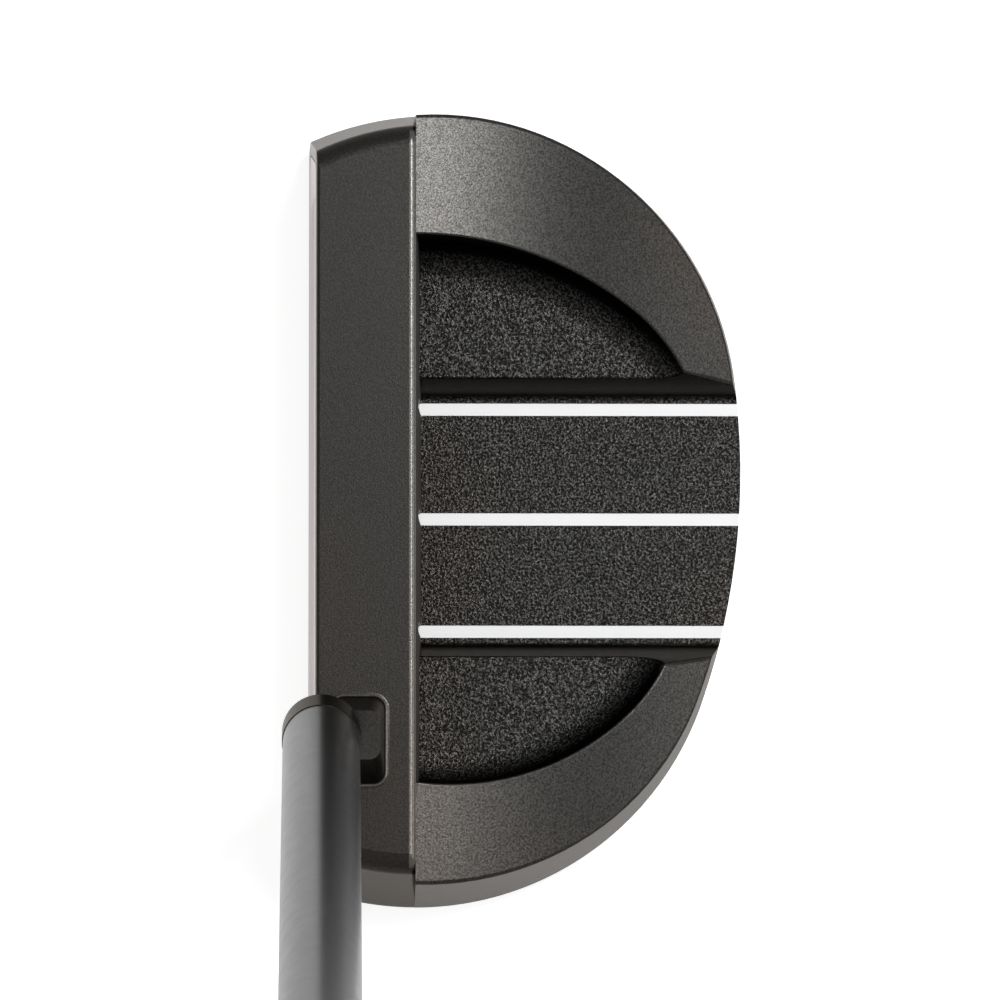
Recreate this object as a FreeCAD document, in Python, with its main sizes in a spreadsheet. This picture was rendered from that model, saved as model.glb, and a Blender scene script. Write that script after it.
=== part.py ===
"""Mallet putter: half-moon head with a raised neck, face insert, sight lines, sole weights, shaft and grip.

Frame in millimetres: +X runs from toe to heel, +Y from the face to the back of the head, +Z up.  The
origin is on the flat of the sole, under the centre sight line.  The shaft stands over the heel and leans
by the lie angle.
"""

import FreeCAD
import Part
import math
import os
import re

import Sketcher

os.makedirs("parts", exist_ok=True)
doc = FreeCAD.newDocument("mallet_putter")

# Every alias holds an underscore, which is how sized() below tells it from a function such as cos.
SIZES = {
    # widest outline of the head: a toe circle and a heel circle joined by a rear arc
    "toe_center_x": 12.9,
    "toe_center_y": 11.0,
    "toe_radius": 37.8,
    "heel_center_x": 10.8,
    "heel_center_y": 13.3,
    "heel_radius": 37.7,
    "rear_radius": 88.0,
    "blank_reach": 33.0,
    "belly_height": 4.5,
    "wing_draft": 6.6,
    "lower_draft": 12.0,
    "sole_round": 2.5,
    "belly_round": 3.0,
    "lead_round": 1.0,
    # striking bar
    "face_reach": 26.7,
    "loft_angle": 2.5,
    "bar_rear": 13.5,
    "bar_height": 24.0,
    "bar_edge": 0.6,
    "face_edge": 0.4,
    "bar_end_draft": 10.6,
    "bar_end_round": 2.5,
    # wings
    "wing_front_height": 22.5,
    "wing_rear_height": 3.18,
    "wing_rear_reach": 34.0,
    "wing_radius": 110.0,
    "wing_edge": 0.5,
    "crescent_edge": 0.3,
    # centre channel, open at the back
    "channel_floor": 4.5,
    "channel_toe": 15.3,
    "channel_heel": 15.7,
    "channel_draft": 19.0,
    "channel_round": 0.8,
    "bar_draft": 2.5,
    # crescent shelves between the channel and the wings
    "shelf_height": 9.9,
    "toe_crescent_x": 9.7,
    "toe_crescent_y": 12.4,
    "toe_crescent_radius": 43.4,
    "heel_crescent_x": 2.2,
    "heel_crescent_y": 9.5,
    "heel_crescent_radius": 31.8,
    "crescent_round": 4.5,
    # painted sight lines
    "line_width": 1.55,
    "line_depth": 0.3,
    "line_recess": 0.1,
    "line_bite": 0.4,
    "line_corner": 0.35,
    "toe_line_x": 13.75,
    "heel_line_x": 14.05,
    # face insert and the tape behind it
    "insert_toe": 45.9,
    "insert_heel": 44.8,
    "insert_height": 17.6,
    "insert_middle": 11.8,
    "insert_corner": 3.0,
    "insert_thickness": 3.0,
    "insert_gap": 0.15,
    "tape_thickness": 0.25,
    "groove_width": 0.4,
    "groove_depth": 0.2,
    "groove_pitch": 1.6,
    "groove_margin": 7.0,
    # sole weights
    "weight_x": 35.5,
    "weight_y": 2.0,
    "weight_recess": 0.3,
    "flange_radius": 7.0,
    "flange_height": 2.2,
    "flange_gap": 0.15,
    "shank_radius": 5.0,
    "shank_length": 5.0,
    "thread_gap": 0.06,
    "weight_tip_gap": 0.5,
    "socket_width": 4.0,
    "socket_depth": 3.2,
    # neck and spigot
    "lie_angle": 70.0,
    "axis_ground_x": 16.2,
    "axis_y": 25.0,
    "collar_start": 35.9,
    "collar_length": 4.55,
    "collar_radius": 4.8,
    "neck_base_toe": 23.3,
    "neck_base_heel": 34.5,
    "neck_base_front": 23.1,
    "neck_base_rear": 17.2,
    "neck_base_corner": 1.4,
    "neck_top_width": 6.2,
    "neck_top_rear": 7.2,
    "neck_top_front": 2.4,
    "neck_top_corner": 1.4,
    "neck_sink": 1.0,
    "neck_overlap": 1.2,
    "neck_round": 0.6,
    "spigot_length": 30.0,
    "glue_thickness": 0.2,
    "glue_gap": 0.02,
    # shaft
    "putter_length": 863.6,
    "shaft_tip_radius": 4.7,
    "shaft_wall": 0.5,
    "first_step": 190.0,
    "step_pitch": 38.0,
    "step_rise": 0.29,
    "step_taper": 1.2,
    # grip
    "grip_length": 265.0,
    "grip_wrap_thickness": 0.25,
    "grip_gap": 0.03,
    "grip_low_width": 19.0,
    "grip_low_depth": 19.0,
    "grip_low_corner": 8.0,
    "grip_high_width": 26.5,
    "grip_high_depth": 25.0,
    "grip_high_corner": 9.0,
    "cap_flange": 2.6,
    "cap_radius": 9.5,
    "cap_plug": 9.0,
    "cap_gap": 0.05,
    "cap_round": 1.0,
    # how far cutting outlines run on past what they cut
    "cut_margin": 1.0,
}
# how far a point may be from where it belongs, when edges are picked out
SLACK = 0.01
STEP_COUNT = 9
GROOVE_COUNT = 7

sheet = doc.addObject("Spreadsheet::Sheet", "dims")
for row, (alias, number) in enumerate(SIZES.items(), start=1):
    sheet.set(f"A{row}", alias)
    sheet.set(f"B{row}", str(number))
    sheet.setAlias(f"B{row}", alias)
doc.recompute()


def sized(formula):
    """The formula with each alias pointed at the sheet."""
    return re.sub(r"\b[a-z]+(?:_[a-z]+)+\b", r"dims.\g<0>", str(formula))


def value(formula):
    """The formula's number at the sheet's present sizes."""
    return float(sheet.evalExpression(sized(formula).replace("dims.", "")))


def bind(thing, **formulas):
    """Ties properties of an object to formulas; a double underscore stands for a dot."""
    for prop, formula in formulas.items():
        thing.setExpression(prop.replace("__", "."), sized(formula))


def part_object(kind, name, **formulas):
    thing = doc.addObject(kind, name)
    bind(thing, **formulas)
    return thing


# ---------------------------------------------------------------- sketches and features

def origin_plane(body, role):
    return next(item for item in body.Origin.OriginFeatures if item.Role == role)


def new_sketch(body, name, role, offset="0"):
    """A sketch on one of the body's own origin planes, moved along the plane's normal by a formula."""
    sketch = body.newObject("Sketcher::SketchObject", name)
    sketch.AttachmentSupport = [(origin_plane(body, role), "")]
    sketch.MapMode = "FlatFace"
    bind(sketch, AttachmentOffset__Base__z=offset)
    return sketch


def fix(sketch, kind, *where, formula):
    """Adds a dimension tied to a formula."""
    number = sketch.addConstraint(Sketcher.Constraint(kind, *where, value(formula)))
    sketch.setExpression(f"Constraints[{number}]", sized(formula))


def fix_point(sketch, geometry, position, x, y):
    fix(sketch, "DistanceX", -1, 1, geometry, position, formula=x)
    fix(sketch, "DistanceY", -1, 1, geometry, position, formula=y)


def arc_between(start, end, radius, bulge_left):
    """The short arc of a radius from start to end, bulging to the left or the right of that direction."""
    chord = end - start
    side = FreeCAD.Vector(-chord.y, chord.x, 0).normalize()
    if not bulge_left:
        side = side.negative()
    rise = radius - math.sqrt(radius ** 2 - (chord.Length / 2) ** 2)
    middle = start + chord * 0.5 + side * rise
    return Part.Arc(start, middle, end)


def closed_outline(sketch, corners, arcs=None):
    """Corners are pairs of formulas.  arcs maps a corner's number to (radius formula, bulge_left) of the
    arc that leaves it; every other side is straight."""
    arcs = arcs or {}
    spots = [FreeCAD.Vector(value(x), value(y), 0) for x, y in corners]
    ends = []
    for number, start in enumerate(spots):
        end = spots[(number + 1) % len(spots)]
        if number in arcs:
            radius, bulge_left = arcs[number]
            shape = arc_between(start, end, value(radius), bulge_left)
            side = sketch.addGeometry(shape, False)
            begins = sketch.getPoint(side, 1).distanceToPoint(start) < 1e-4
            ends.append((side, 1, 2) if begins else (side, 2, 1))
        else:
            side = sketch.addGeometry(Part.LineSegment(start, end), False)
            ends.append((side, 1, 2))
    for number, (side, first, last) in enumerate(ends):
        following, joint, _ = ends[(number + 1) % len(ends)]
        sketch.addConstraint(Sketcher.Constraint("Coincident", side, last, following, joint))
        fix_point(sketch, side, first, *corners[number])
    for number, (radius, _) in arcs.items():
        fix(sketch, "Radius", ends[number][0], formula=radius)


def rounded_rectangle(sketch, low_x, high_x, low_y, high_y, corner):
    corners = [
        (f"{low_x} + {corner}", low_y), (f"{high_x} - {corner}", low_y),
        (high_x, f"{low_y} + {corner}"), (high_x, f"{high_y} - {corner}"),
        (f"{high_x} - {corner}", high_y), (f"{low_x} + {corner}", high_y),
        (low_x, f"{high_y} - {corner}"), (low_x, f"{low_y} + {corner}"),
    ]
    closed_outline(sketch, corners, {side: (corner, False) for side in (1, 3, 5, 7)})


def circle(sketch, radius, x="0", y="0"):
    ring = sketch.addGeometry(Part.Circle(FreeCAD.Vector(value(x), value(y), 0), FreeCAD.Vector(0, 0, 1),
                                          value(radius)), False)
    fix_point(sketch, ring, 3, x, y)
    fix(sketch, "Radius", ring, formula=radius)


def feature(body, kind, name, profile, back=False, **formulas):
    """A pad, pocket or revolution of a sketch."""
    made = body.newObject(f"PartDesign::{kind}", name)
    made.Profile = profile
    made.Reversed = back
    bind(made, **formulas)
    profile.Visibility = False
    return made


def changed_volume(body, grows):
    """Recomputes and checks that the body's newest feature took effect."""
    before = changed_volume.last.get(body.Name, 0.0)
    doc.recompute()
    after = body.Shape.Volume
    gain = after - before if grows else before - after
    if "Invalid" in body.Tip.State or gain <= 0:
        raise RuntimeError(f"{body.Tip.Name} failed: {before:.1f} to {after:.1f}")
    changed_volume.last[body.Name] = after


changed_volume.last = {}


def new_body(name):
    return doc.addObject("PartDesign::Body", name)


def tilted(axis, formula):
    """A placement turned about an axis by a formula's angle; the caller binds the angle and the place."""
    return FreeCAD.Placement(FreeCAD.Vector(), FreeCAD.Rotation(FreeCAD.Vector(*axis), value(formula)))


# ---------------------------------------------------------------- casting of the head

def blank_outline(body, name):
    """The widest outline, with a straight front that stays ahead of the face at every height."""
    sketch = new_sketch(body, name, "XY_Plane", "belly_height")
    toe = FreeCAD.Vector(-value("toe_center_x"), -value("toe_center_y"), 0)
    heel = FreeCAD.Vector(value("heel_center_x"), -value("heel_center_y"), 0)
    toe_r, heel_r, rear_r = value("toe_radius"), value("heel_radius"), value("rear_radius")
    span = heel - toe
    across = span.Length
    along = ((rear_r - toe_r) ** 2 - (rear_r - heel_r) ** 2 + across ** 2) / (2 * across)
    down = math.sqrt((rear_r - toe_r) ** 2 - along ** 2)
    unit = FreeCAD.Vector(span).normalize()
    rear = toe + unit * along + FreeCAD.Vector(unit.y, -unit.x, 0) * down
    front = -value("blank_reach")

    def turn(center, spot):
        return math.atan2(spot.y - center.y, spot.x - center.x) % (2 * math.pi)

    def arc(center, radius, start, end):
        ring = Part.Circle(center, FreeCAD.Vector(0, 0, 1), radius)
        return sketch.addGeometry(Part.ArcOfCircle(ring, start, end), False)

    toe_joint = turn(rear, toe)
    heel_joint = turn(rear, heel)
    toe_front = math.pi - math.asin((front - toe.y) / toe_r)
    heel_front = math.asin((front - heel.y) / heel_r)
    heel_side = arc(heel, heel_r, heel_front, heel_joint)
    back = arc(rear, rear_r, heel_joint, toe_joint)
    toe_side = arc(toe, toe_r, toe_joint, toe_front)
    straight_front = Part.LineSegment(sketch.getPoint(toe_side, 2), sketch.getPoint(heel_side, 1))
    face = sketch.addGeometry(straight_front, False)
    for joined in (("Tangent", heel_side, 2, back, 1), ("Tangent", back, 2, toe_side, 1),
                   ("Coincident", toe_side, 2, face, 1), ("Coincident", face, 2, heel_side, 1),
                   ("Horizontal", face)):
        sketch.addConstraint(Sketcher.Constraint(*joined))
    fix_point(sketch, toe_side, 3, "-toe_center_x", "-toe_center_y")
    fix_point(sketch, heel_side, 3, "heel_center_x", "-heel_center_y")
    fix(sketch, "Radius", toe_side, formula="toe_radius")
    fix(sketch, "Radius", heel_side, formula="heel_radius")
    fix(sketch, "Radius", back, formula="rear_radius")
    fix(sketch, "DistanceY", -1, 1, face, 1, formula="-blank_reach")
    return sketch


def spots_on(edge):
    """Three points along an edge, away from its ends."""
    first, last = edge.ParameterRange
    return [edge.valueAt(first + share * (last - first)) for share in (0.1, 0.5, 0.9)]


def at_level(edge, formula):
    """Whether the whole edge lies at a height."""
    height = value(formula)
    return all(abs(spot.z - height) < SLACK for spot in spots_on(edge))


def straight(edge):
    return isinstance(edge.Curve, Part.Line)


def soften(body, name, radius, test):
    """Rounds the edges of a body's newest feature that pass the test."""
    newest = body.Tip
    names = [f"Edge{number}" for number, edge in enumerate(body.Shape.Edges, start=1) if test(edge)]
    if not names:
        raise RuntimeError(f"{name} found no edge")
    round_off = body.newObject("PartDesign::Fillet", name)
    round_off.Base = (newest, names)
    bind(round_off, Radius=radius)
    changed_volume(body, grows=False)


def blank(name, draft):
    """The outline drawn up to the top and down to the sole, with walls that lean in both ways."""
    body = new_body(name)
    feature(body, "Pad", f"{name}_upper", blank_outline(body, f"{name}_upper_outline"),
            Length="bar_height - belly_height", TaperAngle=f"-{draft}")
    changed_volume(body, grows=True)
    feature(body, "Pad", f"{name}_lower", blank_outline(body, f"{name}_lower_outline"), back=True,
            Length="belly_height", TaperAngle="-lower_draft")
    changed_volume(body, grows=True)
    soften(body, f"{name}_sole", "sole_round", lambda edge: at_level(edge, "0") and not straight(edge))
    soften(body, f"{name}_belly", "belly_round",
           lambda edge: at_level(edge, "belly_height") and not straight(edge))
    return body


def section_cut(body, name, corners, arcs=None):
    """A pocket of an outline in the YZ plane, right through from toe to heel."""
    sketch = new_sketch(body, f"{name}_outline", "YZ_Plane")
    closed_outline(sketch, corners, arcs)
    pocket = feature(body, "Pocket", name, sketch)
    pocket.Type = "ThroughAll"
    pocket.Midplane = True
    changed_volume(body, grows=False)


bar = blank("bar", "bar_end_draft")
soften(bar, "bar_ends", "bar_end_round", lambda edge: at_level(edge, "bar_height") and not straight(edge))
face_top = "(-face_reach + bar_height * tan(loft_angle))"
edge_run = "(face_edge / tan((90 + loft_angle) / 2))"
lead_run = "(lead_round / tan((90 - loft_angle) / 2))"
section_cut(bar, "lofted_face", [
    ("-2 * blank_reach", "-cut_margin"),
    (f"-face_reach + {lead_run}", "-cut_margin"),
    (f"-face_reach + {lead_run}", "0"),
    (f"-face_reach + {lead_run} * sin(loft_angle)", f"{lead_run} * cos(loft_angle)"),
    (f"{face_top} - {edge_run} * sin(loft_angle)", f"bar_height - {edge_run} * cos(loft_angle)"),
    (f"{face_top} + {edge_run}", "bar_height"),
    (f"{face_top} + {edge_run}", "bar_height + cut_margin"),
    ("-2 * blank_reach", "bar_height + cut_margin"),
], {2: ("lead_round", True), 4: ("face_edge", True)})
section_cut(bar, "bar_back", [
    ("-bar_rear + (bar_height + cut_margin) * tan(bar_draft)", "-cut_margin"),
    ("rear_radius", "-cut_margin"),
    ("rear_radius", "bar_height + cut_margin"),
    ("-bar_rear - cut_margin * tan(bar_draft)", "bar_height + cut_margin"),
])

soften(bar, "bar_rear_edge", "bar_edge", lambda edge: at_level(edge, "bar_height") and straight(edge)
       and edge.BoundBox.YMin > value("-bar_rear - cut_margin"))

wings = blank("wings", "wing_draft")
wing_front = "-bar_rear + (bar_height - wing_front_height) * tan(bar_draft)"
section_cut(wings, "wing_tops", [
    (wing_front, "wing_front_height"),
    ("wing_rear_reach", "wing_rear_height"),
    ("wing_rear_reach", "bar_height + cut_margin"),
    (wing_front, "bar_height + cut_margin"),
], {0: ("wing_radius", True)})
section_cut(wings, "wing_front", [
    ("-rear_radius", "-cut_margin"),
    (wing_front, "-cut_margin"),
    (wing_front, "bar_height + cut_margin"),
    ("-rear_radius", "bar_height + cut_margin"),
])


# ---------------------------------------------------------------- booleans and rounds

def joined(name, *pieces):
    fuse = doc.addObject("Part::MultiFuse", name)
    fuse.Shapes = list(pieces)
    fuse.Refine = True
    return fuse


def cut(name, base, *tools):
    made = doc.addObject("Part::Cut", name)
    made.Base = base
    made.Tool = tools[0] if len(tools) == 1 else joined(f"{name}_tools", *tools)
    return made


def common(name, *pieces):
    made = doc.addObject("Part::MultiCommon", name)
    made.Shapes = list(pieces)
    return made


def rounded(name, base, radius, test):
    """The base with the edges that pass the test rounded."""
    doc.recompute()
    numbers = [number for number, edge in enumerate(base.Shape.Edges, start=1) if test(edge)]
    if not numbers:
        raise RuntimeError(f"{name} found no edge")
    made = doc.addObject("Part::Fillet", name)
    made.Base = base
    made.Edges = [(number, value(radius), value(radius)) for number in numbers]
    doc.recompute()
    if made.Shape.isNull() or not made.Shape.isValid():
        raise RuntimeError(f"{name} failed on edges {numbers}")
    return made


casting = joined("casting", bar, wings)


# ---------------------------------------------------------------- neck, collar and spigot

def on_axis(thing, start):
    """Stands an object on the shaft's axis, a distance up from the ground."""
    thing.Placement = tilted((0, 1, 0), "90 - lie_angle")
    bind(thing,
         Placement__Rotation__Angle="90 - lie_angle",
         Placement__Base__x=f"axis_ground_x + ({start}) * cos(lie_angle)",
         Placement__Base__y="-axis_y",
         Placement__Base__z=f"({start}) * sin(lie_angle)")
    return thing


def axis_cylinder(name, start, length, radius):
    return on_axis(part_object("Part::Cylinder", name, Radius=radius, Height=length), start)


neck = new_body("neck")
neck_base = new_sketch(neck, "neck_base_outline", "XY_Plane", "bar_height - neck_sink")
rounded_rectangle(neck_base, "neck_base_toe", "neck_base_heel", "-neck_base_front", "-neck_base_rear",
                  "neck_base_corner")
neck_top = neck.newObject("Sketcher::SketchObject", "neck_top_outline")
neck_top.AttachmentSupport = [(origin_plane(neck, "XY_Plane"), "")]
neck_top.MapMode = "FlatFace"
neck_top.AttachmentOffset = tilted((0, 1, 0), "90 - lie_angle")
bind(neck_top,
     AttachmentOffset__Rotation__Angle="90 - lie_angle",
     AttachmentOffset__Base__x="axis_ground_x + (collar_start + neck_overlap) * cos(lie_angle)",
     AttachmentOffset__Base__y="-axis_y",
     AttachmentOffset__Base__z="(collar_start + neck_overlap) * sin(lie_angle)")
rounded_rectangle(neck_top, "-neck_top_width / 2", "neck_top_width / 2", "-neck_top_front", "neck_top_rear",
                  "neck_top_corner")
block = neck.newObject("PartDesign::AdditiveLoft", "neck_block")
block.Profile = neck_base
block.Sections = [neck_top]
block.Ruled = True
changed_volume(neck, grows=True)

collar = axis_cylinder("collar", "collar_start", "collar_length", "collar_radius")
spigot = axis_cylinder("spigot", "collar_start + collar_length", "spigot_length",
                       "shaft_tip_radius - shaft_wall - glue_thickness")


# ---------------------------------------------------------------- channel and crescent shelves

def behind_bar(name, low_x, width):
    """A box behind the bar's back wall, which leans out as it goes down."""
    region = doc.addObject("Part::Box", name)
    region.Placement = tilted((1, 0, 0), "bar_draft")
    bind(region, Length=width, Width="2 * rear_radius", Height="2 * bar_height",
         Placement__Rotation__Angle="bar_draft",
         Placement__Base__x=low_x,
         Placement__Base__y="-bar_rear + bar_height * tan(bar_draft)")
    return region


def crescent(name, side, center_x, center_y, radius):
    """A round-bottomed disc, kept on one side of the head and behind the bar."""
    disc = part_object("Part::Cylinder", f"{name}_disc", Radius=radius,
                       Height="bar_height + cut_margin - shelf_height",
                       Placement__Base__x=center_x, Placement__Base__y=center_y,
                       Placement__Base__z="shelf_height")
    dish = rounded(f"{name}_dish", disc, "crescent_round", lambda edge: at_level(edge, "shelf_height"))
    region = behind_bar(f"{name}_region", f"-2 * {radius}" if side < 0 else "0", f"2 * {radius}")
    return common(name, dish, region)


toe_crescent = crescent("toe_crescent", -1, "toe_crescent_x", "-toe_crescent_y", "toe_crescent_radius")
heel_crescent = crescent("heel_crescent", 1, "heel_crescent_x", "-heel_crescent_y", "heel_crescent_radius")

trough = new_body("trough")
trough_outline = new_sketch(trough, "trough_outline", "XZ_Plane", "bar_rear + cut_margin")
flare = "(bar_height + cut_margin - channel_floor) * tan(channel_draft)"
closed_outline(trough_outline, [
    ("-channel_toe", "channel_floor"),
    ("channel_heel", "channel_floor"),
    (f"channel_heel + {flare}", "bar_height + cut_margin"),
    (f"-channel_toe - {flare}", "bar_height + cut_margin"),
])
feature(trough, "Pad", "trough_run", trough_outline, back=True, Length="bar_rear + rear_radius")
changed_volume(trough, grows=True)
channel = common("channel", trough, behind_bar("channel_region", "-rear_radius", "2 * rear_radius"))


# ---------------------------------------------------------------- face insert

def on_face(thing):
    """Lays an object's XZ plane on the lofted face, at the insert's middle."""
    thing.Placement = tilted((1, 0, 0), "-loft_angle")
    bind(thing,
         Placement__Rotation__Angle="-loft_angle",
         Placement__Base__y="-face_reach + insert_middle * tan(loft_angle)",
         Placement__Base__z="insert_middle")
    return thing


def face_plate(name, margin, start, thickness):
    """A plate in the face whose ends lean like the head's; start: how far its front is ahead of the face."""
    body = on_face(new_body(name))
    sketch = new_sketch(body, f"{name}_outline", "XZ_Plane", start)
    high = f"(insert_height / 2 + {margin})"
    grown = f"{margin} / cos(bar_end_draft)"
    low_end = f"(insert_{{}} + {grown} + {margin} * tan(bar_end_draft))"
    high_end = f"(insert_{{}} + {grown} - (insert_height + {margin}) * tan(bar_end_draft))"
    closed_outline(sketch, [
        ("-" + low_end.format("toe"), f"-{high}"),
        (low_end.format("heel"), f"-{high}"),
        (high_end.format("heel"), high),
        ("-" + high_end.format("toe"), high),
    ])
    feature(body, "Pad", f"{name}_plate", sketch, back=True, Length=thickness)
    changed_volume(body, grows=True)
    soften(body, f"{name}_corners", f"insert_corner + {margin}",
           lambda edge: straight(edge) and abs(edge.Length - value(thickness)) < SLACK)
    return body


insert_pocket = face_plate("insert_pocket", "insert_gap", "cut_margin",
                           "cut_margin + insert_thickness + tape_thickness")
face_insert = face_plate("face_insert", "0", "0", "insert_thickness")
insert_tape = face_plate("insert_tape", "0", "-insert_thickness", "tape_thickness")

groove = new_sketch(face_insert, "groove_outline", "XZ_Plane")
lowest = f"(-groove_pitch * {GROOVE_COUNT - 1} / 2)"
closed_outline(groove, [
    ("groove_margin - insert_toe", f"{lowest} - groove_width / 2"),
    ("insert_heel - groove_margin", f"{lowest} - groove_width / 2"),
    ("insert_heel - groove_margin", f"{lowest} + groove_width / 2"),
    ("groove_margin - insert_toe", f"{lowest} + groove_width / 2"),
])
score = feature(face_insert, "Pocket", "face_groove", groove, back=False, Length="groove_depth")
changed_volume(face_insert, grows=False)
rows = face_insert.newObject("PartDesign::LinearPattern", "face_grooves")
rows.Originals = [score]
rows.Direction = (groove, ["V_Axis"])
rows.Occurrences = GROOVE_COUNT
bind(rows, Length=f"groove_pitch * {GROOVE_COUNT - 1}")
face_insert.Tip = rows
changed_volume(face_insert, grows=False)


# ---------------------------------------------------------------- sight lines

def line_run(name, x, top, height):
    """A strip from just inside the foot of the bar's back wall to past the back of the head."""
    body = new_body(name)
    sketch = new_sketch(body, f"{name}_outline", "XY_Plane", top)
    start = "(-bar_rear + (bar_height - channel_floor) * tan(bar_draft) - line_bite)"
    closed_outline(sketch, [
        (f"{x} - line_width / 2 + line_corner", start),
        (f"{x} + line_width / 2 - line_corner", start),
        (f"{x} + line_width / 2", f"{start} + line_corner"),
        (f"{x} + line_width / 2", "rear_radius"),
        (f"{x} - line_width / 2", "rear_radius"),
        (f"{x} - line_width / 2", f"{start} + line_corner"),
    ], {1: ("line_corner", False), 5: ("line_corner", False)})
    feature(body, "Pad", f"{name}_pad", sketch, back=True, Length=height)
    changed_volume(body, grows=True)
    return body


LINES = {"toe_sight_line": "-toe_line_x", "center_sight_line": "0", "heel_sight_line": "heel_line_x"}
groove_reach = "bar_height - channel_floor + line_recess + line_depth"
groove_runs = [line_run(f"{name}_groove", x, "bar_height", groove_reach) for name, x in LINES.items()]
paint_runs = [line_run(f"{name}_paint", x, "channel_floor - line_recess", "line_depth")
              for name, x in LINES.items()]
sight_lines = [common(name, run, casting) for name, run in zip(LINES, paint_runs)]


# ---------------------------------------------------------------- sole weights

def sole_hole(name, side):
    """A counterbore for the weight's flange and a tapped bore for its shank."""
    seat = part_object("Part::Cylinder", f"{name}_seat", Radius="flange_radius + flange_gap",
                       Height="cut_margin + weight_recess + flange_height",
                       Placement__Base__x=f"{side} * weight_x", Placement__Base__y="-weight_y",
                       Placement__Base__z="-cut_margin")
    tapped = part_object("Part::Cylinder", f"{name}_tapped", Radius="shank_radius + thread_gap",
                         Height="weight_recess + flange_height + shank_length + weight_tip_gap",
                         Placement__Base__x=f"{side} * weight_x", Placement__Base__y="-weight_y")
    return [seat, tapped]


def sole_weight(name, side):
    body = new_body(name)
    bind(body, Placement__Base__x=f"{side} * weight_x", Placement__Base__y="-weight_y",
         Placement__Base__z="weight_recess")
    flange = new_sketch(body, f"{name}_flange_outline", "XY_Plane")
    circle(flange, "flange_radius")
    feature(body, "Pad", f"{name}_flange", flange, Length="flange_height")
    changed_volume(body, grows=True)
    shank = new_sketch(body, f"{name}_shank_outline", "XY_Plane", "flange_height")
    circle(shank, "shank_radius")
    feature(body, "Pad", f"{name}_shank", shank, Length="shank_length")
    changed_volume(body, grows=True)
    socket = new_sketch(body, f"{name}_socket_outline", "XY_Plane")
    reach = "(socket_width / 2 / cos(30))"
    corners = [(f"{reach} * cos({60 * turn})", f"{reach} * sin({60 * turn})") for turn in range(6)]
    closed_outline(socket, corners)
    feature(body, "Pocket", f"{name}_socket", socket, back=True, Length="socket_depth")
    changed_volume(body, grows=False)
    return body


toe_weight = sole_weight("toe_weight", -1)
heel_weight = sole_weight("heel_weight", 1)


# ---------------------------------------------------------------- finished head

solid_head = joined("solid_head", casting, neck, collar, spigot)
open_head = cut("open_head", solid_head, insert_pocket, channel, toe_crescent, heel_crescent,
                *groove_runs, *sole_hole("toe_hole", -1), *sole_hole("heel_hole", 1))
doc.recompute()


def channel_foot(edge):
    """Whether the edge runs along the foot of the channel's toe or heel wall."""
    sides = (-value("channel_toe"), value("channel_heel"))
    return at_level(edge, "channel_floor") and any(
        all(abs(spot.x - side) < SLACK for spot in spots_on(edge)) for side in sides)


def neck_foot(edge):
    box = edge.BoundBox
    return (at_level(edge, "bar_height") and box.XMin > value("neck_base_toe - neck_round")
            and box.XMax < value("neck_base_heel + neck_round"))


def wing_arc_center():
    """The centre, in the YZ plane, of the arc along the wings' tops."""
    front = FreeCAD.Vector(0, value(wing_front), value("wing_front_height"))
    rear = FreeCAD.Vector(0, value("wing_rear_reach"), value("wing_rear_height"))
    chord = rear - front
    inward = FreeCAD.Vector(0, chord.z, -chord.y).normalize()
    return (front + rear) * 0.5 + inward * math.sqrt(value("wing_radius") ** 2 - (chord.Length / 2) ** 2)


def wing_rim(edge):
    """Whether the edge lies on the wings' top surface, away from the bar."""
    center = wing_arc_center()
    on_top = all(abs(math.hypot(spot.y - center.y, spot.z - center.z) - value("wing_radius")) < SLACK
                 for spot in spots_on(edge))
    return on_top and edge.BoundBox.YLength > value("wing_edge")


def crescent_rim(edge):
    """Whether a crescent ends the wing's top there, rather than the outer wall or the channel's wall."""
    if not wing_rim(edge):
        return False
    spots = spots_on(edge)
    side = "toe" if spots[0].x < 0 else "heel"
    center_x, center_y = value(f"{side}_crescent_x"), -value(f"{side}_crescent_y")
    radius = value(f"{side}_crescent_radius")
    return all(math.hypot(spot.x - center_x, spot.y - center_y) < radius + SLACK for spot in spots)


head = rounded("round_channel", open_head, "channel_round", channel_foot)
head = rounded("round_neck", head, "neck_round", neck_foot)
head = rounded("round_wings", head, "wing_edge", lambda edge: wing_rim(edge) and not crescent_rim(edge))
head = rounded("round_crescents", head, "crescent_edge", crescent_rim)
head.Label = "head_body"


# ---------------------------------------------------------------- shaft, glue and grip

def turned(name, start, corners):
    """A solid of revolution about the shaft's axis; corners are (radius, distance above start) formulas."""
    body = on_axis(new_body(name), start)
    sketch = new_sketch(body, f"{name}_profile", "XZ_Plane")
    closed_outline(sketch, corners)
    spin = feature(body, "Revolution", f"{name}_turned", sketch)
    spin.ReferenceAxis = (sketch, ["V_Axis"])
    spin.Angle = 360
    changed_volume(body, grows=True)
    return body


shaft_start = "(collar_start + collar_length)"
shaft_length = f"(putter_length - cap_flange - {shaft_start})"
bore = "(shaft_tip_radius - shaft_wall)"

hosel_glue = turned("hosel_glue", shaft_start, [
    (f"{bore} - glue_thickness + glue_gap", "glue_gap"),
    (f"{bore} - glue_gap", "glue_gap"),
    (f"{bore} - glue_gap", "spigot_length"),
    (f"{bore} - glue_thickness + glue_gap", "spigot_length"),
])

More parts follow.
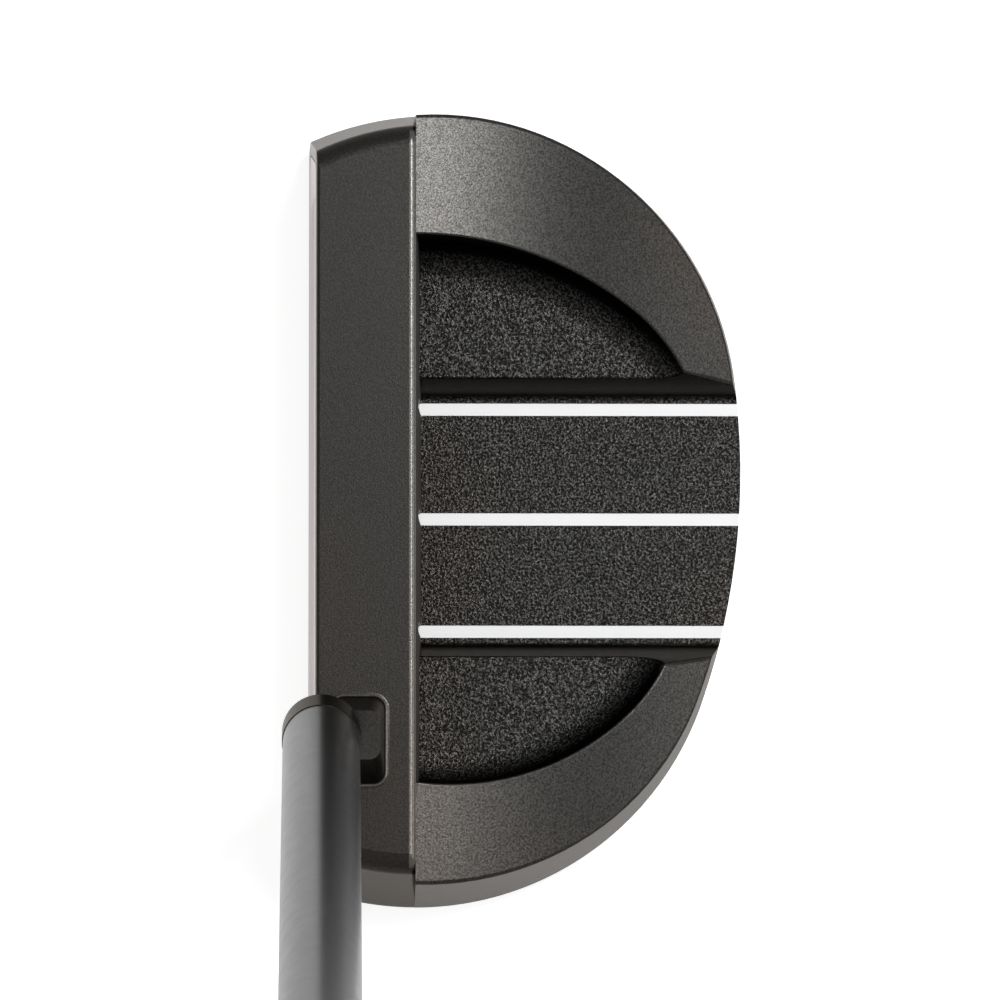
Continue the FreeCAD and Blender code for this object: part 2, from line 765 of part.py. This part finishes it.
steps = []
for count in range(STEP_COUNT):
    edge_height = f"first_step + {count} * step_pitch"
    steps.append((f"shaft_tip_radius + {count} * step_rise", edge_height))
    steps.append((f"shaft_tip_radius + {count + 1} * step_rise", f"{edge_height} + step_taper"))
outside = [("shaft_tip_radius", "0"), *steps, (f"shaft_tip_radius + {STEP_COUNT} * step_rise", shaft_length)]
inside = [(f"{radius} - shaft_wall", height) for radius, height in reversed(outside)]
shaft = turned("shaft", shaft_start, outside + inside)

butt_radius = f"(shaft_tip_radius + {STEP_COUNT} * step_rise)"
grip_start = "(putter_length - cap_flange - grip_length)"
grip_tape = turned("grip_tape", grip_start, [
    (f"{butt_radius} + grip_gap", "0"),
    (f"{butt_radius} + grip_gap + grip_wrap_thickness", "0"),
    (f"{butt_radius} + grip_gap + grip_wrap_thickness", "grip_length"),
    (f"{butt_radius} + grip_gap", "grip_length"),
])

butt_cap = turned("butt_cap", "putter_length - cap_flange", [
    ("0", "-cap_plug"),
    (f"{butt_radius} - shaft_wall - cap_gap", "-cap_plug"),
    (f"{butt_radius} - shaft_wall - cap_gap", "0"),
    ("cap_radius", "0"),
    ("cap_radius", "cap_flange - cap_round"),
    ("cap_radius - cap_round", "cap_flange"),
    ("0", "cap_flange"),
])

grip_sleeve = on_axis(new_body("grip_sleeve"), grip_start)


def grip_section(name, height, width, depth, corner):
    """A rounded section with its flat side towards the toe, where the thumbs lie."""
    sketch = new_sketch(grip_sleeve, name, "XY_Plane", height)
    rounded_rectangle(sketch, f"-{depth} / 2", f"{depth} / 2", f"-{width} / 2", f"{width} / 2", corner)
    return sketch


low = grip_section("grip_low", "0", "grip_low_width", "grip_low_depth", "grip_low_corner")
high = grip_section("grip_high", "grip_length", "grip_high_width", "grip_high_depth", "grip_high_corner")
sleeve = grip_sleeve.newObject("PartDesign::AdditiveLoft", "grip_loft")
sleeve.Profile = low
sleeve.Sections = [high]
changed_volume(grip_sleeve, grows=True)
grip_hole = new_sketch(grip_sleeve, "grip_hole", "XY_Plane")
circle(grip_hole, f"{butt_radius} + grip_wrap_thickness + 2 * grip_gap")
feature(grip_sleeve, "Pocket", "grip_bore", grip_hole, back=True, Length="grip_length")
changed_volume(grip_sleeve, grows=False)


# ---------------------------------------------------------------- checks and files

NODES = {
    "head_body": head,
    "face_insert": face_insert,
    "insert_tape": insert_tape,
    **dict(zip(LINES, sight_lines)),
    "toe_weight": toe_weight,
    "heel_weight": heel_weight,
    "hosel_glue": hosel_glue,
    "shaft": shaft,
    "grip_tape": grip_tape,
    "grip_sleeve": grip_sleeve,
    "butt_cap": butt_cap,
}

doc.recompute()
for thing in doc.Objects:
    if "Invalid" in thing.State or "Error" in thing.State:
        raise RuntimeError(f"{thing.Name} failed: {thing.State}")
for node, thing in NODES.items():
    thing.Label = node
    if thing.Shape.isNull() or not thing.Shape.isValid():
        raise RuntimeError(f"{node} has no sound shape")
for node, thing in NODES.items():
    thing.Shape.exportStep(f"parts/{node}.step")
    print(node, len(thing.Shape.Solids), round(thing.Shape.Volume, 1))
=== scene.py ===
import math

import bmesh
import bpy
from mathutils import Matrix, Vector


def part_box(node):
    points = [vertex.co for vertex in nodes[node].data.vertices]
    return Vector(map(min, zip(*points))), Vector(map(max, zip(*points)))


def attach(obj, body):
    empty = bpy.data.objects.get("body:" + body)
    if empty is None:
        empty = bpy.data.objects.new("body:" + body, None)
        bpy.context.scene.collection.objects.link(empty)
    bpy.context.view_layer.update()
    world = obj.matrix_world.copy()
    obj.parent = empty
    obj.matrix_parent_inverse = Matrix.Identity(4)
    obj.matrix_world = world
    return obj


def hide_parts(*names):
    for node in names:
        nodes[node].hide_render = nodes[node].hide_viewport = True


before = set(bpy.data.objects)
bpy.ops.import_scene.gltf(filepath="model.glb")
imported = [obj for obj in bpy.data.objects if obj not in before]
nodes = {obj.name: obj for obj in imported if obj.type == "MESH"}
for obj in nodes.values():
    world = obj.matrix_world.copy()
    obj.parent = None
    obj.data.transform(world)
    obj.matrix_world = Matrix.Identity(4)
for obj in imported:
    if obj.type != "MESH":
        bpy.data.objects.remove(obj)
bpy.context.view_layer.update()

# Everything is in metres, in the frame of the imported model: +X to the heel, +Y to the back, +Z up.
MM = 0.001
PUTTER = "putter"


def added(name, data):
    """A new object, linked into the scene."""
    thing = bpy.data.objects.new(name, data)
    bpy.context.scene.collection.objects.link(thing)
    return thing


# ---------------------------------------------------------------- node materials

class Shader:
    """A material with one Principled shader, and short ways to wire nodes into it."""

    def __init__(self, name, color, **constants):
        self.material = bpy.data.materials.new(name)
        self.material.use_nodes = True
        self.tree = self.material.node_tree
        self.principled = self.tree.nodes["Principled BSDF"]
        self.principled.inputs["Base Color"].default_value = (*color, 1.0)
        for socket, number in constants.items():
            self.principled.inputs[socket.replace("_", " ")].default_value = number
        coordinates = self.tree.nodes.new("ShaderNodeTexCoord")
        self.place = coordinates.outputs["Object"]
        self.normal = coordinates.outputs["Normal"]

    def wire(self, source, socket):
        """Puts a node's output or a plain value on a socket."""
        if isinstance(source, bpy.types.NodeSocket):
            self.tree.links.new(source, socket)
        else:
            socket.default_value = source

    def math(self, operation, *sources):
        node = self.tree.nodes.new("ShaderNodeMath")
        node.operation = operation
        for number, source in enumerate(sources):
            self.wire(source, node.inputs[number])
        return node.outputs[0]

    def product(self, first, *others):
        for other in others:
            first = self.math("MULTIPLY", first, other)
        return first

    def axes(self, vector):
        """The x, y and z of a vector."""
        node = self.tree.nodes.new("ShaderNodeSeparateXYZ")
        self.wire(vector, node.inputs[0])
        return node.outputs

    def stretched(self, vector, scale, location=(0, 0, 0)):
        node = self.tree.nodes.new("ShaderNodeMapping")
        self.wire(vector, node.inputs["Vector"])
        node.inputs["Location"].default_value = location
        node.inputs["Scale"].default_value = scale
        return node.outputs[0]

    def noise(self, vector, scale, detail=2.0, roughness=0.5):
        node = self.tree.nodes.new("ShaderNodeTexNoise")
        self.wire(vector, node.inputs["Vector"])
        node.inputs["Scale"].default_value = scale
        node.inputs["Detail"].default_value = detail
        node.inputs["Roughness"].default_value = roughness
        return node.outputs[0]

    def step(self, source, low, high, below=0.0, above=1.0):
        """Runs smoothly from below to above as the source goes from low to high."""
        node = self.tree.nodes.new("ShaderNodeMapRange")
        node.interpolation_type = "SMOOTHSTEP"
        for number, item in enumerate((source, low, high, below, above)):
            self.wire(item, node.inputs[number])
        return node.outputs[0]

    def near(self, source, middle, inner, outer):
        """1 where the source is less than inner from the middle, 0 where it is more than outer."""
        distance = self.math("ABSOLUTE", self.math("SUBTRACT", source, middle))
        return self.step(distance, outer, inner)

    def blend(self, share, first, second):
        """A mix of two colours."""
        node = self.tree.nodes.new("ShaderNodeMix")
        node.data_type = "RGBA"
        self.wire(share, node.inputs["Factor"])
        for name, source in (("A", first), ("B", second)):
            socket = next(s for s in node.inputs if s.name == name and s.type == "RGBA")
            if not isinstance(source, bpy.types.NodeSocket):
                source = (*source, 1.0)
            self.wire(source, socket)
        return next(s for s in node.outputs if s.type == "RGBA")

    def tinted(self, color, other):
        """Two colours multiplied."""
        node = self.tree.nodes.new("ShaderNodeVectorMath")
        node.operation = "MULTIPLY"
        self.tree.links.new(color, node.inputs[0])
        self.tree.links.new(other, node.inputs[1])
        return node.outputs[0]

    def lerp(self, share, first, second):
        """A mix of two numbers."""
        spread = self.math("SUBTRACT", second, first)
        return self.math("MULTIPLY_ADD", share, spread, first)

    def bump(self, height, distance, strength=1.0, under=None):
        node = self.tree.nodes.new("ShaderNodeBump")
        self.wire(strength, node.inputs["Strength"])
        node.inputs["Distance"].default_value = distance
        self.wire(height, node.inputs["Height"])
        if under is not None:
            self.tree.links.new(under, node.inputs["Normal"])
        return node.outputs[0]

    def set(self, socket, source):
        self.wire(source, self.principled.inputs[socket])


def dress(name, shader):
    """Gives a carried-over CAD node its material."""
    for slot in nodes[name].material_slots:
        slot.material = shader.material


# Sizes of the head that its finish depends on, the same as in the CAD source.
BAR_BACK = -13.5 * MM
FACED_HEIGHT = 20.8 * MM
BAR_TOP = 24.0 * MM
NECK_FOOT = 24.6 * MM
WING_RADIUS = 110 * MM
WING_FRONT = Vector((-13.43, 22.5)) * MM
WING_REAR = Vector((34.0, 3.18)) * MM

# Grains to a metre of each texture, and how high its bumps stand.
CAST_GRAIN, CAST_DEPTH = 3300, 0.14 * MM
SATIN_GRAIN, SATIN_DEPTH = 5200, 0.02 * MM
BRUSHED_GRAIN, BRUSHED_DEPTH = 7000, 0.014 * MM
BRUSHED_ALONG = 60
WORN_GRAIN = 4200
TINT_GRAIN = 22

# How many times lighter than plain plating each place is.
# Painted light: the bar's back wall is lightened to stand in for the key light that its rough
# surface catches.
BAR_WALL_PAINTED_LIGHT_GAIN = 3.0
WING_GAIN = 1.3
# Painted light: the neck is lightened where it faces away from the key light.
NECK_PAINTED_LIGHT_GAIN = 2.1
# Painted highlight: the gain of the bright bands along the bar's rear top edge and round the neck's
# foot.
EDGE_HIGHLIGHT_GAIN = 3.6


def wing_arc_center():
    """The middle of the arc that the wings' tops follow, as a point in Y and Z."""
    chord = WING_REAR - WING_FRONT
    inward = Vector((chord.y, -chord.x)).normalized()
    drop = math.sqrt(WING_RADIUS ** 2 - (chord.length / 2) ** 2)
    return (WING_FRONT + WING_REAR) / 2 + inward * drop


def head_metal():
    """Dark plated casting: satin tops, coarse cast texture in the hollows, brushed outer walls."""
    s = Shader("dark_metal", (0.031, 0.030, 0.028), Metallic=1.0,
               Specular_Tint=(0.62, 0.60, 0.58, 1.0))
    _, y, z = s.axes(s.place)
    _, back, up = s.axes(s.normal)

    # Where on the head a point is: each of these runs from 0 to 1.
    center = wing_arc_center()
    off = s.math("SUBTRACT", y, center.x)
    arc = s.math("SQRT", s.math("SUBTRACT", WING_RADIUS ** 2, s.math("MULTIPLY", off, off)))
    wing_height = s.math("ADD", arc, center.y)
    below = s.step(s.math("SUBTRACT", wing_height, z), 0.4 * MM, 1.0 * MM)
    behind = s.step(y, BAR_BACK - 0.2 * MM, BAR_BACK + 0.1 * MM)
    facing_up = s.step(up, 0.45, 0.7)
    floor_cast = s.product(below, behind, facing_up)
    near_bar = s.near(y, BAR_BACK + 0.4 * MM, 0.9 * MM, 1.1 * MM)
    bar_wall = s.product(s.step(back, 0.8, 0.95), near_bar)
    hollow = s.math("MAXIMUM", floor_cast, bar_wall)
    wall = s.product(s.step(up, 0.5, 0.3), s.math("SUBTRACT", 1.0, hollow))
    on_wing = s.product(behind, facing_up, s.math("SUBTRACT", 1.0, floor_cast))
    on_neck = s.step(z, NECK_FOOT, NECK_FOOT + 0.3 * MM)
    # Painted highlights: bands along the bar's rear top edge and round the neck's foot fillet,
    # lightened in the colour.
    rear_edge_highlight = s.product(s.step(z, BAR_TOP - 0.8 * MM, BAR_TOP - 0.5 * MM),
                          s.near(y, BAR_BACK, 0.65 * MM, 0.85 * MM))
    neck_foot_highlight = s.product(s.step(z, BAR_TOP + 0.02 * MM, BAR_TOP + 0.06 * MM),
                          s.step(z, NECK_FOOT + 0.1 * MM, NECK_FOOT - 0.1 * MM))
    faced = s.product(s.step(back, -0.95, -0.99),
                      s.step(z, FACED_HEIGHT + 0.1 * MM, FACED_HEIGHT))

    # Texture
    coarse = s.noise(s.place, CAST_GRAIN, detail=3.0, roughness=0.6)
    fine = s.noise(s.place, SATIN_GRAIN)
    brushing = (BRUSHED_ALONG, BRUSHED_ALONG, BRUSHED_GRAIN)
    brushed = s.noise(s.stretched(s.place, brushing), 1.0, detail=3.0)
    cast = s.bump(coarse, CAST_DEPTH, hollow)
    satin = s.bump(fine, SATIN_DEPTH, 0.6, under=cast)
    s.set("Normal", s.bump(brushed, BRUSHED_DEPTH, wall, under=satin))

    # Colour: lighter on the wings; painted light on the neck and the bar's back wall, painted
    # highlights on the bar's rear edge and the neck's foot, painted shade and glints on the cast
    # grain.
    tint = s.noise(s.place, TINT_GRAIN, detail=1.5)
    plated = s.blend(s.step(tint, 0.4, 0.65), (0.0210, 0.0205, 0.0194), (0.0235, 0.0212, 0.0191))
    grain = s.noise(s.place, WORN_GRAIN)
    spread = s.lerp(on_wing, 0.20, 0.42)
    worn = s.step(grain, 0.3, 0.7, s.math("SUBTRACT", 1.0, spread), s.math("ADD", 1.0, spread))
    # Painted shade and glints: the cast grain in the hollows is darker in its pits and lighter on
    # its bumps, following the bump noise.
    grain_shade_and_glints = s.lerp(floor_cast, 1.0, s.step(coarse, 0.42, 0.66, 0.22, 2.1))
    # Lighter wings, plus painted light on the bar's back wall and the neck, painted edge highlights
    # and the grain's painted shade and glints.
    tone_and_painted_light = s.product(grain_shade_and_glints,
                     s.lerp(bar_wall, 1.0, BAR_WALL_PAINTED_LIGHT_GAIN),
                     s.lerp(on_wing, 1.0, WING_GAIN),
                     s.lerp(on_neck, 1.0, NECK_PAINTED_LIGHT_GAIN),
                     s.lerp(s.math("MAXIMUM", rear_edge_highlight, neck_foot_highlight), 1.0, EDGE_HIGHLIGHT_GAIN))
    plating = s.tinted(plated, s.product(worn, tone_and_painted_light))
    # The casting's face is milled bare together with the insert.
    s.set("Base Color", s.blend(faced, plating, (0.34, 0.31, 0.30)))

    rough = s.lerp(bar_wall, s.lerp(hollow, 0.31, 0.26), 0.7)
    s.set("Roughness", s.math("ADD", rough, s.product(s.math("SUBTRACT", fine, 0.5), 0.12)))
    return s


dress("head_body", head_metal())


# How far below the head the middle of the milled arcs is, and how close together the arcs are.
MILL_ARC_DROP = 0.06
MILL_ARC_SCALE = 230


def milled_face():
    """Pale steel with the fine arcs that a face mill leaves."""
    s = Shader("milled_face", (0.62, 0.57, 0.55), Metallic=0.9, Roughness=0.38)
    sweep = s.tree.nodes.new("ShaderNodeTexWave")
    sweep.wave_type = "RINGS"
    sweep.rings_direction = "Y"
    sweep.wave_profile = "SAW"
    s.wire(s.stretched(s.place, (1, 0, 1), location=(0, 0, MILL_ARC_DROP)), sweep.inputs["Vector"])
    sweep.inputs["Scale"].default_value = MILL_ARC_SCALE
    s.set("Normal", s.bump(sweep.outputs["Fac"], 0.05 * MM, 0.8))
    grain = s.noise(s.place, 900, detail=3.0)
    s.set("Base Color", s.blend(grain, (0.44, 0.39, 0.37), (0.52, 0.47, 0.45)))
    return s


dress("face_insert", milled_face())


def simple(name, color, other, scale, rough, metal=0.0, depth=0.02):
    """A finish with a grained colour, a grained roughness and a fine bump, its depth in mm."""
    s = Shader(name, color, Metallic=metal)
    grain = s.noise(s.place, scale, detail=3.0)
    s.set("Base Color", s.blend(grain, color, other))
    s.set("Roughness", s.lerp(grain, rough * 0.85, rough * 1.15))
    s.set("Normal", s.bump(grain, depth * MM, 0.5))
    return s


LATHE_PITCH = 0.28 * MM


def turned_steel(name, box):
    """Bright steel with the fine rings of a lathe round the box's upright middle line."""
    s = Shader(name, (0.5, 0.5, 0.51), Metallic=1.0)
    low, high = box
    middle = (low + high) / 2
    x, y, _ = s.axes(s.place)
    out_x = s.math("SUBTRACT", x, middle.x)
    out_y = s.math("SUBTRACT", y, middle.y)
    square = s.math("ADD", s.product(out_x, out_x), s.product(out_y, out_y))
    rings = s.math("SINE", s.product(s.math("SQRT", square), 2 * math.pi / LATHE_PITCH))
    s.set("Normal", s.bump(rings, 0.008 * MM, 0.7))
    grain = s.noise(s.place, 1500, detail=3.0)
    s.set("Base Color", s.blend(grain, (0.50, 0.50, 0.51), (0.60, 0.60, 0.60)))
    s.set("Roughness", s.lerp(grain, 0.24, 0.34))
    return s


paint = simple("white_paint", (0.74, 0.75, 0.76), (0.78, 0.78, 0.78), 400, 0.35, depth=0.01)
for line in ("toe_sight_line", "center_sight_line", "heel_sight_line"):
    dress(line, paint)
dress("insert_tape", simple("tape", (0.5, 0.48, 0.42), (0.56, 0.53, 0.46), 700, 0.7))
for weight in ("toe_weight", "heel_weight"):
    dress(weight, turned_steel(f"{weight}_steel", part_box(weight)))
dress("hosel_glue", simple("glue", (0.55, 0.5, 0.36), (0.62, 0.56, 0.42), 900, 0.45))
dress("shaft", simple("shaft_steel", (0.066, 0.065, 0.067), (0.071, 0.070, 0.072), 500, 0.33,
                      metal=1.0, depth=0.0006))
dress("grip_tape", simple("wrap_tape", (0.62, 0.58, 0.48), (0.68, 0.64, 0.54), 1200, 0.8))
rubber = simple("grip_rubber", (0.02, 0.02, 0.021), (0.028, 0.028, 0.03), 2500, 0.65, depth=0.03)
dress("grip_sleeve", rubber)
dress("butt_cap", simple("cap_plastic", (0.018, 0.018, 0.019), (0.024, 0.024, 0.025), 900, 0.5))


# ---------------------------------------------------------------- moulded grip

# The shaft's axis and the grip's sizes in millimetres, the same as in the CAD source.
LIE = math.radians(70)
AXIS_FOOT = Vector((16.2, -25.0, 0.0)) * MM
PUTTER_LENGTH = 863.6
CAP_FLANGE = 2.6
GRIP_LENGTH = 265.0
GRIP_START = PUTTER_LENGTH - CAP_FLANGE - GRIP_LENGTH
SHAFT_BUTT_RADIUS = 7.31
WRAP_THICKNESS = 0.25
WRAP_GAP = 0.03
BORE_RADIUS = SHAFT_BUTT_RADIUS + WRAP_THICKNESS + 2 * WRAP_GAP
# Half the depth, half the width and the corner radius at each end.
LOW_SECTION = (9.5, 9.5, 8.0)
HIGH_SECTION = (12.5, 13.25, 9.0)

# The moulded pattern, in millimetres. It is a guess, so it isn't in the CAD.
RIM_ROUND = 1.2
PLAIN_BAND = 12
THUMB_HALF_WIDTH = 6.5
THUMB_BORDER = 0.5
GROOVE_PITCH = 3.4
GROOVE_DEPTH = 0.34
GROOVE_SHARE = 0.35
CHEVRON_SLOPE = 0.7
BAND_FADE = 2

# Points on each corner and each side of a ring, and steps along the grip.
CORNER_POINTS = 15
SIDE_POINTS = 14
ROWS = 530


def grip_section(along):
    """Half depth, half width and corner radius at a place along the grip."""
    share = along / GRIP_LENGTH
    return [low + (high - low) * share for low, high in zip(LOW_SECTION, HIGH_SECTION)]


def grip_ring(depth, width, corner):
    """Points round a rounded section: four times a side and the corner after it."""
    points = []
    for side in range(4):
        turn = side * math.pi / 2
        cos, sin = round(math.cos(turn)), round(math.sin(turn))
        reach, half = (depth, width) if side % 2 == 0 else (width, depth)
        spots = []
        for step in range(SIDE_POINTS):
            spots.append((reach, (half - corner) * (2 * step / SIDE_POINTS - 1)))
        for step in range(CORNER_POINTS):
            bend = math.pi / 2 * step / CORNER_POINTS
            spots.append((reach - corner + corner * math.cos(bend),
                          half - corner + corner * math.sin(bend)))
        points += [Vector((x * cos - y * sin, x * sin + y * cos)) for x, y in spots]
    return points


def groove_depth(spot, along):
    """The pattern's depth: chevrons on the thumb side and hoops elsewhere, between plain bands."""
    band = min(along - PLAIN_BAND, GRIP_LENGTH - PLAIN_BAND - along)
    if band <= 0:
        return 0.0
    aside = abs(spot.y)
    thumb_side = spot.x < 0
    if thumb_side and abs(aside - THUMB_HALF_WIDTH) < THUMB_BORDER:
        return 0.0
    if thumb_side and aside < THUMB_HALF_WIDTH:
        phase = (along + CHEVRON_SLOPE * aside) / GROOVE_PITCH
    else:
        phase = along / GROOVE_PITCH + 0.5
    wave = math.cos(2 * math.pi * phase)
    dip = max(0.0, wave - GROOVE_SHARE) / (1 - GROOVE_SHARE)
    return GROOVE_DEPTH * dip * min(1.0, band / BAND_FADE)


def grip_mesh():
    """A closed sleeve with the pattern moulded into it and a bore for the taped shaft."""
    rows = []
    for row in range(ROWS + 1):
        along = GRIP_LENGTH * row / ROWS
        rim = max(0.0, RIM_ROUND - min(along, GRIP_LENGTH - along))
        inset = RIM_ROUND - math.sqrt(RIM_ROUND ** 2 - rim ** 2)
        rows.append([(spot - spot.normalized() * (inset + groove_depth(spot, along)), along)
                     for spot in grip_ring(*grip_section(along))])
    for along in (GRIP_LENGTH, 0.0):
        rows.append([(spot.normalized() * BORE_RADIUS, along)
                     for spot in grip_ring(*grip_section(along))])
    axis = Vector((math.cos(LIE), 0, math.sin(LIE)))
    outward = Vector((math.sin(LIE), 0, -math.cos(LIE)))
    sideways = Vector((0, 1, 0))
    vertices = []
    for ring in rows:
        for spot, along in ring:
            place = axis * (GRIP_START + along) + outward * spot.x + sideways * spot.y
            vertices.append(tuple(AXIS_FOOT + place * MM))
    count = len(rows[0])
    faces = []
    for row in range(len(rows)):
        following = (row + 1) % len(rows)
        for place in range(count):
            beside = (place + 1) % count
            faces.append((row * count + place, row * count + beside,
                          following * count + beside, following * count + place))
    mesh = bpy.data.meshes.new("moulded_grip")
    mesh.from_pydata(vertices, [], faces)
    mesh.materials.append(rubber.material)
    mesh.validate()
    mesh.update()
    mesh.polygons.foreach_set("use_smooth", [True] * len(mesh.polygons))
    return added("moulded_grip", mesh)


grip = grip_mesh()
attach(grip, PUTTER)
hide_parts("grip_sleeve")


# ---------------------------------------------------------------- studio and camera

FLOOR_SIZE = 30
FLOOR_DROP = 0.2 * MM
WALL_RADIUS = 14
WALL_HEIGHT = 12
WALL_BELOW_FLOOR = 0.1
BACKDROP_COLOR = (0.5, 0.5, 0.5, 1)
BACKDROP_GLOW = 0.85


def backdrop_material():
    """Looks white to the camera and to reflections, and keeps the putter's shadow."""
    material = bpy.data.materials.new("studio_floor")
    material.use_nodes = True
    tree = material.node_tree
    tree.nodes.clear()
    output = tree.nodes.new("ShaderNodeOutputMaterial")
    both = tree.nodes.new("ShaderNodeAddShader")
    diffuse = tree.nodes.new("ShaderNodeBsdfDiffuse")
    diffuse.inputs["Color"].default_value = BACKDROP_COLOR
    glow = tree.nodes.new("ShaderNodeEmission")
    strength = tree.nodes.new("ShaderNodeMath")
    strength.operation = "MULTIPLY"
    strength.inputs[1].default_value = BACKDROP_GLOW
    tree.links.new(seen_rays(tree), strength.inputs[0])
    tree.links.new(strength.outputs[0], glow.inputs["Strength"])
    tree.links.new(diffuse.outputs[0], both.inputs[0])
    tree.links.new(glow.outputs[0], both.inputs[1])
    tree.links.new(both.outputs[0], output.inputs["Surface"])
    return material


def backdrop():
    """A wide floor and a round wall far behind the putter."""
    material = backdrop_material()

    def staged(name, build, **sizes):
        made = bmesh.new()
        build(made, **sizes)
        mesh = bpy.data.meshes.new(name)
        made.to_mesh(mesh)
        made.free()
        mesh.materials.append(material)
        return added(name, mesh)

    floor = staged("studio_floor", bmesh.ops.create_grid,
                   x_segments=1, y_segments=1, size=FLOOR_SIZE)
    floor.location.z = -FLOOR_DROP
    wall = staged("studio_wall", bmesh.ops.create_cone, cap_ends=False, segments=96,
                  radius1=WALL_RADIUS, radius2=WALL_RADIUS, depth=WALL_HEIGHT)
    wall.location.z = WALL_HEIGHT / 2 - WALL_BELOW_FLOOR


def seen_rays(tree):
    """1 for rays from the camera, reflections and transmission, 0 for the rest."""
    path = tree.nodes.new("ShaderNodeLightPath")
    total = path.outputs["Is Camera Ray"]
    for name in ("Is Glossy Ray", "Is Transmission Ray"):
        node = tree.nodes.new("ShaderNodeMath")
        node.operation = "MAXIMUM"
        tree.links.new(total, node.inputs[0])
        tree.links.new(path.outputs[name], node.inputs[1])
        total = node.outputs[0]
    return total


WORLD_LIGHT = 0.3


def studio_world():
    """White to the camera and to reflections, and a weak even light on everything else."""
    world = bpy.data.worlds.new("studio_world")
    world.use_nodes = True
    bpy.context.scene.world = world
    tree = world.node_tree
    background = tree.nodes["Background"]
    strength = tree.nodes.new("ShaderNodeMapRange")
    tree.links.new(seen_rays(tree), strength.inputs["Value"])
    strength.inputs["To Min"].default_value = WORLD_LIGHT
    strength.inputs["To Max"].default_value = 1.0
    background.inputs["Color"].default_value = (1, 1, 1, 1)
    tree.links.new(strength.outputs[0], background.inputs["Strength"])


HEAD_CENTER = Vector((0.0, 0.0, 0.015))


def soft_lamp(name, spot, size, power):
    """A square soft box at a spot, aimed at the head."""
    light = bpy.data.lights.new(name, "AREA")
    light.size = size
    light.energy = power
    lamp = added(name, light)
    lamp.location = spot
    lamp.rotation_euler = (HEAD_CENTER - Vector(spot)).to_track_quat("-Z", "Y").to_euler()


def photo_camera():
    """The photo's view: a long lens above the head, with its toe up and its face to the left."""
    data = bpy.data.cameras.new("camera")
    data.lens = 355.7
    data.sensor_width = 36.0
    data.clip_start = 0.01
    data.clip_end = 50
    camera = added("camera", data)
    camera.location = (0.105, -0.024, 1.2324)
    aim = Vector((-0.001504, -0.00297, 0.015)) - camera.location
    right = aim.cross(Vector((-1, 0, 0))).normalized()
    above = right.cross(aim).normalized()
    camera.rotation_euler = Matrix((right, above, -aim.normalized())).transposed().to_euler()
    bpy.context.scene.camera = camera


backdrop()
studio_world()
soft_lamp("key_light", (-0.284, 0.317, 1.02), size=0.3, power=10)
soft_lamp("back_light", (0.05, 1.5, 0.72), size=0.9, power=7)
photo_camera()
bpy.context.scene.view_settings.view_transform = "Standard"
